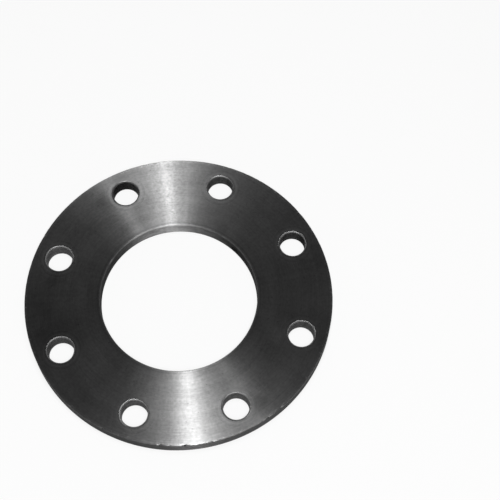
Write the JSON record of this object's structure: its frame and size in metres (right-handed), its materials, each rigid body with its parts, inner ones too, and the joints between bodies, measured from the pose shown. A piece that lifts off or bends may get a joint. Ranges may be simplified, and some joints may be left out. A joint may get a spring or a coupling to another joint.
{
  "type": "pipe flange",
  "caption": "Flat round steel ring with a wide central bore for a pipe and evenly spaced bolt holes round it, bolted face to face to join pipes.",
  "frame": {"origin": "centre of the back face, on the pipe's axis", "axes": "+Z along the pipe, out of the front face; the bolt holes straddle X and Y"},
  "size_m": [0.2286, 0.2286, 0.0127],
  "materials": {
    "dark_steel": "dark oiled steel, faces turned in fine concentric lines, edges broken at 45 degrees"
  },
  "bodies": {
    "root": {"flange": "dark_steel"}
  },
  "joints": []
}
